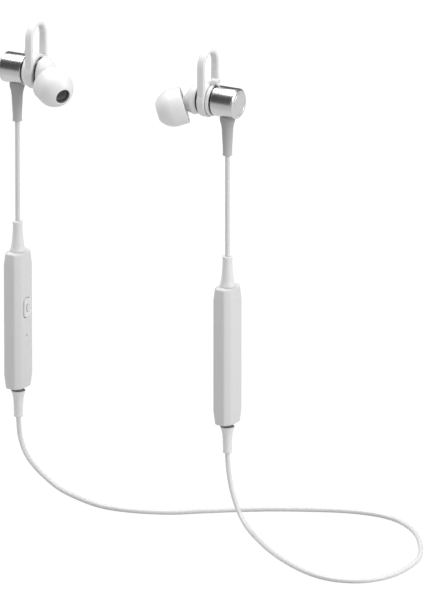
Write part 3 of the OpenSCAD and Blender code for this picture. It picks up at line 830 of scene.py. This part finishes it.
def woven_disc_tree(material):
    """Geometry nodes for a disc of woven wires inside a rim, flat in XY."""
    tree = bpy.data.node_groups.new("Woven_Disc", "GeometryNodeTree")
    face = tree.interface
    face.new_socket("Geometry", in_out="OUTPUT", socket_type="NodeSocketGeometry")
    for name, kind in (("Radius", "Float"), ("Wire", "Float"), ("Wires", "Int")):
        face.new_socket(name, in_out="INPUT", socket_type="NodeSocket" + kind)
    nodes, links = tree.nodes, tree.links

    def add(kind, values=None, **settings):
        node = nodes.new(kind)
        for key, value in settings.items():
            setattr(node, key, value)
        for key, value in (values or {}).items():
            if isinstance(value, bpy.types.NodeSocket):
                links.new(value, node.inputs[key])
            else:
                node.inputs[key].default_value = value
        return node

    def calc(operation, a, b=0.0, c=0.0):
        values = {0: a, 1: b, 2: c}
        return add("ShaderNodeMath", values, operation=operation).outputs[0]

    group = add("NodeGroupInput")
    radius, wire, wires = (group.outputs[k] for k in ("Radius", "Wire", "Wires"))
    last = calc("SUBTRACT", wires, 1.0)
    index = add("GeometryNodeInputIndex").outputs[0]
    share = calc("DIVIDE", index, last)
    across = calc("MULTIPLY", calc("SUBTRACT", calc("MULTIPLY", share, 2.0), 1.0),
                  calc("MULTIPLY", radius, 0.92))
    across_squared = calc("MULTIPLY", across, across)
    half_squared = calc("SUBTRACT", calc("MULTIPLY", radius, radius), across_squared)
    half = calc("SQRT", half_squared)
    spot = add("ShaderNodeCombineXYZ", {0: 0.0, 1: across}).outputs[0]
    points = add("GeometryNodePoints", {"Count": wires, "Position": spot})
    rod = add("GeometryNodeMeshCylinder", {"Vertices": 6, "Radius": 1.0, "Depth": 2.0},
              fill_type="TRIANGLE_FAN")
    layers = []
    for turn, lift in ((0.0, 0.5), (math.radians(90), -0.5)):
        size = add("ShaderNodeCombineXYZ", {0: wire, 1: wire, 2: half}).outputs[0]
        placed = add("GeometryNodeInstanceOnPoints", {
            "Points": points.outputs[0], "Instance": rod.outputs["Mesh"],
            "Rotation": (0.0, math.radians(90), 0.0), "Scale": size})
        shift = add("ShaderNodeCombineXYZ", {2: calc("MULTIPLY", wire, lift)}).outputs[0]
        layer = add("GeometryNodeTransform", {
            "Geometry": placed.outputs[0], "Rotation": (0.0, 0.0, turn), "Translation": shift})
        layers.append(layer.outputs[0])
    circle = add("GeometryNodeCurvePrimitiveCircle", {
        "Resolution": 48, "Radius": calc("SUBTRACT", radius, wire)})
    section = add("GeometryNodeCurvePrimitiveCircle", {
        "Resolution": 8, "Radius": calc("MULTIPLY", wire, 1.6)})
    rim = add("GeometryNodeCurveToMesh", {"Curve": circle.outputs[0],
                                          "Profile Curve": section.outputs[0]})
    joined = add("GeometryNodeJoinGeometry")
    for part in (*layers, rim.outputs[0]):
        links.new(part, joined.inputs[0])
    real = add("GeometryNodeRealizeInstances", {0: joined.outputs[0]})
    painted = add("GeometryNodeSetMaterial", {"Geometry": real.outputs[0], "Material": material})
    links.new(painted.outputs[0], add("NodeGroupOutput").inputs[0])
    return tree


class EARPHONES_OT_tips(bpy.types.Operator):
    """Models the domed silicone ear tips, with their skirts and inner sleeves"""
    bl_idname = "earphones.tips"
    bl_label = "Ear tips"

    def execute(self, context):
        for side in SIDES:
            node = side + "_ear_tip"
            tip = lathe("Ear_Tip_" + side.title(), self.outline(), nozzle_frame(side), 128, 50)
            self.mark_bore_shade(tip, nozzle_frame(side).inverted())
            finish_piece(tip, node)
        return {"FINISHED"}

    def mark_bore_shade(self, tip, inverse):
        """Marks the walls of the bore for painted shade, as shade falls deep inside the tip."""
        bore_shade = tip.data.attributes.new("bore_shade", "FLOAT", "POINT")
        for item, vertex in zip(bore_shade.data, tip.data.vertices):
            spot = inverse @ vertex.co
            away = math.hypot(spot.x, spot.y)
            item.value = min(1.0, max(0.0, (BORE_SHADE_R - away) / BORE_SHADE_BLEND))

    def outline(self):
        """From the skirt's edge over the dome and its rolled mouth, then back inside."""
        dome = (0, 1.5 * MM)
        skirt = mm((5.95, -2.28), (6.1, -2.26), (6.2, -2.16), (6.28, -1.8), (6.3, 0.0))
        outer = arc(dome, 6.33 * MM, 5, 60, 26)
        mouth = mm((2.97, 7.08), (2.8, 7.15), (2.64, 7.12), (2.53, 7.0), (2.48, 6.7))
        sleeve = mm((2.4, 6.2), (2.4, -0.48), (2.5, -0.6), (2.9, -0.6), (3.05, -0.46),
                    (3.1, 5.1), (3.3, 5.6))
        inner = arc(dome, 5.6 * MM, 47, 5, 20)
        return skirt + outer + mouth + sleeve + inner + mm((5.6, 0.0), (5.65, -1.6), (5.78, -2.2))


class EARPHONES_OT_wings(bpy.types.Operator):
    """Moulds the ear wings: a ring in the housing's groove and the arch that stands on it"""
    bl_idname = "earphones.wings"
    bl_label = "Ear wings"

    def execute(self, context):
        sizes = context.scene.earphone_sizes
        for side in SIDES:
            start = GROOVE_START + 0.2 * MM
            outline = tube_outline(WING_RING_R, WING_BORE_R, start, start + WING_WIDTH,
                                   0.5 * MM, 5)
            ring = lathe("Ear_Wing_" + side.title(), outline, barrel_frame(side), 160)
            arch = loft("Arch", self.arch_rings(side, start + WING_WIDTH / 2))
            wing = moulded(combined(ring, [arch], "UNION"), sizes.voxel)
            finish_piece(wing, side + "_ear_wing")
        return {"FINISHED"}

    def arch_rings(self, side, station):
        """Rounded-strip sections up one leg, round the top and down the other leg."""
        bud = bud_frame(side)
        centre_r = WING_RING_R - 0.35 * MM - WING_STRIP / 2
        turn_z = WING_TOP - WING_STRIP / 2 - centre_r
        legs = 14
        path = [(centre_r, turn_z * k / legs, 0.0) for k in range(legs)]
        path += [(centre_r * math.cos(a), turn_z + centre_r * math.sin(a), a)
                 for a in (math.pi * k / 32 for k in range(33))]
        path += [(-centre_r, turn_z * k / legs, math.pi) for k in range(legs - 1, -1, -1)]
        rings = []
        for y, z, angle in path:
            outward = Vector((0, math.cos(angle), math.sin(angle)))
            across = Vector((1, 0, 0))
            # The strip is widest at its feet and a little slimmer over the top.
            slim = 1 - 0.08 * max(0.0, z - WING_RING_R) / (WING_TOP - WING_RING_R)
            section = self.strip_section(WING_WIDTH * slim, WING_STRIP * slim)
            middle_point = Vector((station, y, z))
            rings.append([bud @ (middle_point + across * a + outward * b) for a, b in section])
        return rings

    def strip_section(self, width, thickness):
        corners = [(width / 2, thickness / 2), (-width / 2, thickness / 2),
                   (-width / 2, -thickness / 2), (width / 2, -thickness / 2)]
        return [(p.x, p.y) for p in rounded(corners, thickness * 0.42, 4)]


# Outlines of the pods' reliefs, from the pod's top and from its foot.
TOP_RELIEF = mm(
    (0, 10.6), (1.5, 10.6), (1.72, 10.35), (1.72, 9.7), (1.6, 9.55), (1.66, 7.6), (1.86, 4.5),
    (2.2, 1.9), (2.6, 0.55), (2.62, 0.05), (1.5, 0.05), (1.5, -0.88), (2.08, -0.88),
    (2.08, -1.55), (0, -1.55))
BOTTOM_RELIEF = mm(
    (0, -10.6), (1.35, -10.6), (1.56, -10.4), (1.56, -9.8), (1.5, -9.65), (1.6, -6.0),
    (1.76, -3.8), (2.04, -2.6), (2.38, -1.6), (2.42, -1.3), (1.72, -1.15), (1.72, -0.05),
    (1.5, -0.05), (1.5, 0.88), (2.08, 0.88), (2.08, 1.55), (0, 1.55))


class EARPHONES_OT_reliefs(bpy.types.Operator):
    """Models the cord reliefs under the barrels and at both ends of each pod"""
    bl_idname = "earphones.reliefs"
    bl_label = "Cord reliefs"

    def execute(self, context):
        for side in SIDES:
            self.bud_relief(side)
        for pod in PODS:
            self.pod_relief(pod, "top", 0.0, TOP_RELIEF, 0.14 * MM)
            self.pod_relief(pod, "bottom", POD_LENGTH, BOTTOM_RELIEF, 0.1 * MM)
        return {"FINISHED"}

    def bud_relief(self, side):
        """A tapered sleeve whose shoulders are saddled to the barrel."""
        node = side + "_bud_relief"
        outline = softened(mm(
            (0, -18.4), (0.86, -18.4), (1.62, -18.4), (1.66, -18.0), (1.52, -17.85),
            (1.62, -15.0), (1.9, -9.4), (2.1, -7.9), (2.55, -6.3), (2.58, -4.6), (0, -4.6)),
            0.2 * MM)
        sleeve = lathe("Bud_Relief_" + side.title(), outline, bud_frame(side), 64)
        saddle = rod("Saddle", 5.18, -5, 5, barrel_frame(side), 128)
        sleeve = combined(sleeve, [saddle], "DIFFERENCE", RELIEF_SHARP)
        root = lathe("Root", mm((0, -5.3), (1.7, -5.3), (1.7, -4.05), (2.1, -4.05),
                                (2.1, -3.45), (0, -3.45)), bud_frame(side), 48)
        sleeve = combined(sleeve, [root], "UNION", RELIEF_SHARP)
        finish_piece(sleeve, node)

    def pod_relief(self, pod, end, drop, outline, edge):
        place = pod_frame(pod) @ Matrix.Translation((0, 0, -drop))
        relief = lathe("Pod_Relief_%s_%s" % (end.title(), pod.title()),
                       softened(outline, edge), place, 64)
        finish_piece(relief, "%s_%s_relief" % (pod, end))


# ---- Pods ----

POD_LENGTH = 47.7 * MM
POD_HALF_WIDTH = 5.3 * MM
POD_HALF_DEPTH = 3.6 * MM
POD_CORNER_DEPTH = 1.6 * MM
POD_CORNER_WIDTH = 2.2 * MM
POD_WALL = 0.8 * MM
POD_END_TAPER = 0.45 * MM
POD_TAPER_LENGTH = 4.5 * MM
PARTING = POD_CORNER_DEPTH - POD_HALF_DEPTH
LEAST_EDGE = 0.05 * MM
KEEP_REACH = 8 * MM
KEEP_OVER = 2 * MM
PORT_HALF_WIDTH = 1.45 * MM
PORT_HALF_HEIGHT = 3.9 * MM
KEY_DROP = 19.3 * MM
MIC_DROP = 28.9 * MM
PORT_DROP = 10.6 * MM


def pod_section(inset, z, edge, steps=3):
    """The pod's eight-sided section at a height, drawn in by an inset, with rounded corners."""
    x, y = POD_HALF_DEPTH - inset, POD_HALF_WIDTH - inset
    cx, cy = POD_CORNER_DEPTH - inset * 0.4, POD_CORNER_WIDTH - inset * 0.4
    corners = [(x, y - cy), (x - cx, y), (cx - x, y), (-x, y - cy),
               (-x, cy - y), (cx - x, -y), (x - cx, -y), (x, cy - y)]
    return [Vector((p.x, p.y, z)) for p in rounded(corners, edge, steps)]


def pod_skin(name, place, inset, edge):
    """A pod's closed skin, drawn in by an inset, with its ends tapered and rounded over."""
    top, bottom = -inset, -POD_LENGTH + inset
    levels = []
    lip = max(edge, LEAST_EDGE)
    for k in range(5):
        a = math.radians(90 * k / 4)
        levels.append((lip * (1 - math.cos(a)), lip * (1 - math.sin(a)) + POD_END_TAPER))
    for k in range(1, 5):
        u = k / 4
        levels.append((lip + (POD_TAPER_LENGTH - lip) * u, POD_END_TAPER * (1 - u)))
    upper = [(top - d, i) for d, i in levels]
    lower = [(bottom + d, i) for d, i in reversed(levels)]
    rings = [[place @ p for p in pod_section(inset + i, z, lip)]
             for z, i in upper + lower]
    return loft(name, rings, FACET_SHARP)


def pill_ring(height, width, x, z, inset, steps=14):
    """A flat outline with round ends at depth x, centred on height z."""
    r = width / 2 - inset
    half = (height - width) / 2
    points = []
    for end, start in ((1, 0), (-1, math.pi)):
        for k in range(steps + 1):
            a = start + math.pi * k / steps
            points.append(Vector((x, r * math.cos(a), z + end * half + r * math.sin(a))))
    return points


def pill_solid(name, place, height, width, levels):
    """A solid through pill outlines at (depth, inset) levels, centred on the keys."""
    rings = [[place @ p for p in pill_ring(height, width, x, -KEY_DROP, inset)]
             for x, inset in levels]
    return loft(name, rings, MOULD_SHARP)


class EARPHONES_OT_pods(bpy.types.Operator):
    """Moulds the front and back shells of the key pod and the battery pod"""
    bl_idname = "earphones.pods"
    bl_label = "Pod shells"

    def execute(self, context):
        sizes = context.scene.earphone_sizes
        for pod in PODS:
            for half in ("front", "back"):
                self.shell(pod, half, sizes)
        return {"FINISHED"}

    def shell(self, pod, half, sizes):
        place = pod_frame(pod)
        node = "%s_%s_shell" % (pod, half)
        name = "%s_Half_%s" % (pod.title(), half.title())
        skin = pod_skin(name, place, 0.0, sizes.edge)
        hollow = pod_skin("Hollow", place, POD_WALL, 0.2 * MM)
        ends = rod("Ends", 1.55, -50, 2, place)
        shell = combined(skin, [hollow, ends], "DIFFERENCE", FACET_SHARP)
        if half == "front":
            start, end = PARTING + sizes.seam / 2, KEEP_REACH
        else:
            start, end = -KEEP_REACH, PARTING - sizes.seam / 2
        keep = box_object("Keep", (start, -KEEP_REACH, -POD_LENGTH - KEEP_OVER),
                          (end, KEEP_REACH, KEEP_OVER), place)
        shell = combined(shell, [keep], "INTERSECT", FACET_SHARP)
        if half == "front":
            shell = combined(shell, self.openings(pod, place), "DIFFERENCE", FACET_SHARP)
        finish_piece(shell, node)

    def openings(self, pod, place):
        if pod == "battery":
            return [box_object(
                "Port", (-PORT_HALF_WIDTH, 0, -PORT_DROP - PORT_HALF_HEIGHT),
                (PORT_HALF_WIDTH, KEEP_REACH, -PORT_DROP + PORT_HALF_HEIGHT), place)]
        face = POD_HALF_DEPTH
        key = pill_solid("Key", place, 7.3 * MM, 4.5 * MM,
                         [(1 * MM, 0), (face - 0.12 * MM, 0), (face, -0.1 * MM),
                          (face + 1 * MM, -0.1 * MM)])
        turn = Matrix.Translation((0, 0, -MIC_DROP)) @ Z_ALONG_X
        hole = lathe("Hole", mm((0, 1), (0.3, 1), (0.3, 3.5), (0.42, 3.62), (0.42, 5), (0, 5)),
                     place @ turn, 32)
        return [key, hole]


class EARPHONES_OT_keys(bpy.types.Operator):
    """Moulds the volume rocker, the play key and the charging port's cover"""
    bl_idname = "earphones.keys"
    bl_label = "Keys and port cover"

    def execute(self, context):
        self.rocker()
        self.play_key()
        self.port_cover()
        return {"FINISHED"}

    def rocker(self):
        place = pod_frame("remote")
        base = 2.1 * MM
        top = 4.1 * MM
        rocker = pill_solid("Volume_Rocker", place, 7.0 * MM, 4.2 * MM, [
            (base, 0), (top - 0.42 * MM, 0), (top - 0.2 * MM, 0.04 * MM),
            (top - 0.06 * MM, 0.16 * MM), (top, 0.36 * MM), (top - 0.02 * MM, 0.55 * MM),
            (top - 0.1 * MM, 0.8 * MM)])
        skirt = pill_solid("Skirt", place, 7.75 * MM, 4.95 * MM, [(base, 0), (2.45 * MM, 0)])
        well = pill_solid("Well", place, 2.86 * MM, 2.06 * MM, [(1 * MM, 0), (6 * MM, 0)])
        rocker = combined(rocker, [skirt], "UNION", MOULD_SHARP)
        rocker = combined(rocker, [well], "DIFFERENCE", MOULD_SHARP)
        finish_piece(rocker, "volume_rocker")

    def play_key(self):
        place = pod_frame("remote")
        top = 4.33 * MM
        key = pill_solid("Play_Key", place, 2.6 * MM, 1.8 * MM, [
            (1.68 * MM, 0), (top - 0.25 * MM, 0), (top - 0.08 * MM, 0.06 * MM),
            (top, 0.22 * MM), (top - 0.03 * MM, 0.4 * MM)])
        skirt = pill_solid("Skirt", place, 3.4 * MM, 2.6 * MM,
                           [(1.68 * MM, 0), (1.93 * MM, 0)])
        finish_piece(combined(key, [skirt], "UNION", MOULD_SHARP), "play_key")

    def port_cover(self):
        """A rounded rubber flap with a plug that fits the socket."""
        place = pod_frame("battery")
        face = POD_HALF_WIDTH + 0.03 * MM
        low_z = -PORT_DROP - 4.72 * MM
        flap = box_object("Port_Cover", (-1.79 * MM, face, low_z),
                          (1.79 * MM, face + 0.48 * MM, low_z + 9.2 * MM), place, 0.2 * MM)
        plug = box_object("Plug", (-0.84 * MM, 4.42 * MM, -PORT_DROP - 3.1 * MM),
                          (0.84 * MM, face + 0.3 * MM, -PORT_DROP + 3.1 * MM), place, 0.08 * MM)
        finish_piece(combined(flap, [plug], "UNION", MOULD_SHARP), "port_cover")


INNER_NODES = [
    "right_driver_frame", "right_driver_magnet", "right_diaphragm",
    "left_driver_frame", "left_driver_magnet", "left_diaphragm",
    "tact_switches", "remote_board", "bluetooth_chip", "antenna", "microphone", "status_led",
    "battery_cell", "charge_board", "usb_receptacle",
]


class EARPHONES_OT_inner_parts(bpy.types.Operator):
    """Gives the drivers, boards, cell and socket their finishes"""
    bl_idname = "earphones.inner_parts"
    bl_label = "Inner parts"

    def execute(self, context):
        for node in INNER_NODES:
            materials = frame["nodes"][node].data.materials
            materials.clear()
            materials.append(finish_of(node))
        return {"FINISHED"}


# ---- Stage ----

LAMP_DISTANCE = 3.0
FLOOR_GLOW = 1.08
FLOOR_SEEN = 0.9
FLOOR_MIRRORED = 0.52
ROOM_LIGHT = 0.48
ROOM_MIRRORED = 0.07


class EARPHONES_OT_stage(bpy.types.Operator):
    """Sets up the camera, the pale floor and the soft studio light"""
    bl_idname = "earphones.stage"
    bl_label = "Camera, floor and light"

    def execute(self, context):
        studio = context.scene.earphone_studio
        aim = middle("right_barrel") + Vector(studio.aim)
        self.camera(context, studio, aim)
        self.floor(aim)
        self.world(context)
        self.lamps(aim)
        context.scene.view_settings.view_transform = "Standard"
        return {"FINISHED"}

    def camera(self, context, studio, aim):
        a, e = math.radians(studio.azimuth), math.radians(studio.elevation)
        back = Vector((math.sin(a) * math.cos(e), -math.cos(a) * math.cos(e), math.sin(e)))
        data = bpy.data.cameras.new("Camera")
        data.lens = data.sensor_width * studio.distance / studio.field
        data.clip_end = 100
        camera = bpy.data.objects.new("Camera", data)
        camera.location = aim + back * studio.distance
        camera.rotation_euler = (-back).to_track_quat("-Z", "Y").to_euler()
        context.scene.collection.objects.link(camera)
        context.scene.camera = camera

    def floor(self, aim):
        bm = bmesh.new()
        bmesh.ops.create_grid(bm, x_segments=1, y_segments=1, size=6)
        level = CAD_BOX[0].z - 0.05 * MM
        bmesh.ops.translate(bm, verts=bm.verts, vec=(aim.x, aim.y, level))
        floor = mesh_object("Floor", bm)
        finish = Finish("Floor_Paper", 0.9)
        grain = finish.noise(40, 2)
        finish.set("Base Color", finish.between(grain, (0.42, 0.42, 0.42), (0.44, 0.44, 0.44)))
        glow = finish.node("ShaderNodeEmission", {}, {
            "Color": (1, 1, 1, 1), "Strength": FLOOR_GLOW})
        path = finish.nodes.new("ShaderNodeLightPath")
        seen = Wire(finish, path.outputs["Is Camera Ray"])
        mirrored = Wire(finish, path.outputs["Is Glossy Ray"])
        share = (seen * FLOOR_SEEN
                 + mirrored * self.lit_ground(finish, aim) * FLOOR_MIRRORED)
        mix = finish.node("ShaderNodeMixShader", {}, {
            0: share, 1: Wire(finish, finish.shader.outputs[0]), 2: glow})
        output = finish.nodes["Material Output"]
        finish.links.new(mix.socket, output.inputs["Surface"])
        floor.data.materials.append(finish.material)

    def lit_ground(self, finish, aim):
        """One under and behind the object, and falling to a tenth on the floor in front of it."""
        return finish.ramp(finish.coordinate("Y"), aim.y - 0.22, aim.y - 0.05, 0.1, 1.0,
                           "SMOOTHSTEP")

    def world(self, context):
        """White to the camera, and a dim room that lets the lamps shape everything else."""
        world = bpy.data.worlds.new("Studio")
        world.use_nodes = True
        nodes = world.node_tree.nodes
        room = nodes["Background"]
        white, path, dim, mix = (nodes.new("ShaderNode" + kind) for kind in (
            "Background", "LightPath", "MapRange", "MixShader"))
        room.inputs["Color"].default_value = (1, 1, 1, 1)
        white.inputs["Strength"].default_value = 1.0
        dim.inputs["To Min"].default_value = ROOM_LIGHT
        dim.inputs["To Max"].default_value = ROOM_MIRRORED
        for start, end in ((path.outputs["Is Glossy Ray"], dim.inputs["Value"]),
                           (dim.outputs[0], room.inputs["Strength"]),
                           (path.outputs["Is Camera Ray"], mix.inputs[0]),
                           (room.outputs[0], mix.inputs[1]),
                           (white.outputs[0], mix.inputs[2]),
                           (mix.outputs[0], nodes["World Output"].inputs["Surface"])):
            world.node_tree.links.new(start, end)
        context.scene.world = world

    def lamps(self, aim):
        self.lamp("Key", aim, (0.9, 0.1, 0.5), 2.1, 61.0)
        self.lamp("Top", aim, (-0.36, 0.12, 0.95), 2.4, 86.0)
        self.lamp("Front", aim, (0.15, -1.0, 0.2), 1.5, 11.0)

    def lamp(self, name, aim, direction, size, power):
        data = bpy.data.lights.new(name, "AREA")
        data.shape = "DISK"
        data.size = size
        data.energy = power
        lamp = bpy.data.objects.new(name, data)
        way = Vector(direction).normalized()
        lamp.location = aim + way * LAMP_DISTANCE
        lamp.rotation_euler = way.to_track_quat("Z", "Y").to_euler()
        bpy.context.scene.collection.objects.link(lamp)


class EARPHONES_PT_panel(bpy.types.Panel):
    """Lists the steps that make the earphones"""
    bl_label = "Neckband earphones"
    bl_idname = "EARPHONES_PT_panel"
    bl_space_type = "VIEW_3D"
    bl_region_type = "UI"
    bl_category = "Earphones"

    def draw(self, context):
        for group in (getattr(context.scene, key) for key in GROUPS):
            for name in group.bl_rna.properties.keys():
                if name not in ("rna_type", "name"):
                    self.layout.prop(group, name)
        for step in STEPS:
            self.layout.operator(step.bl_idname)


STEPS = (EARPHONES_OT_stage, EARPHONES_OT_cords, EARPHONES_OT_barrels, EARPHONES_OT_housings,
         EARPHONES_OT_tips, EARPHONES_OT_wings, EARPHONES_OT_reliefs, EARPHONES_OT_pods,
         EARPHONES_OT_keys, EARPHONES_OT_inner_parts)
GROUPS = {"earphone_sizes": EarphoneSizes, "earphone_colours": EarphoneColours,
          "earphone_studio": EarphoneStudio}
CLASSES = (*GROUPS.values(), *STEPS, EARPHONES_PT_panel)


def register():
    for item in CLASSES:
        bpy.utils.register_class(item)
    for name, group in GROUPS.items():
        setattr(bpy.types.Scene, name, bpy.props.PointerProperty(type=group))


def unregister():
    for name in GROUPS:
        delattr(bpy.types.Scene, name)
    for item in reversed(CLASSES):
        bpy.utils.unregister_class(item)


def main():
    register()
    make_finishes(bpy.context.scene.earphone_colours)
    for step in STEPS:
        category, name = step.bl_idname.split(".")
        getattr(getattr(bpy.ops, category), name)()


if __name__ == "__main__":
    main()
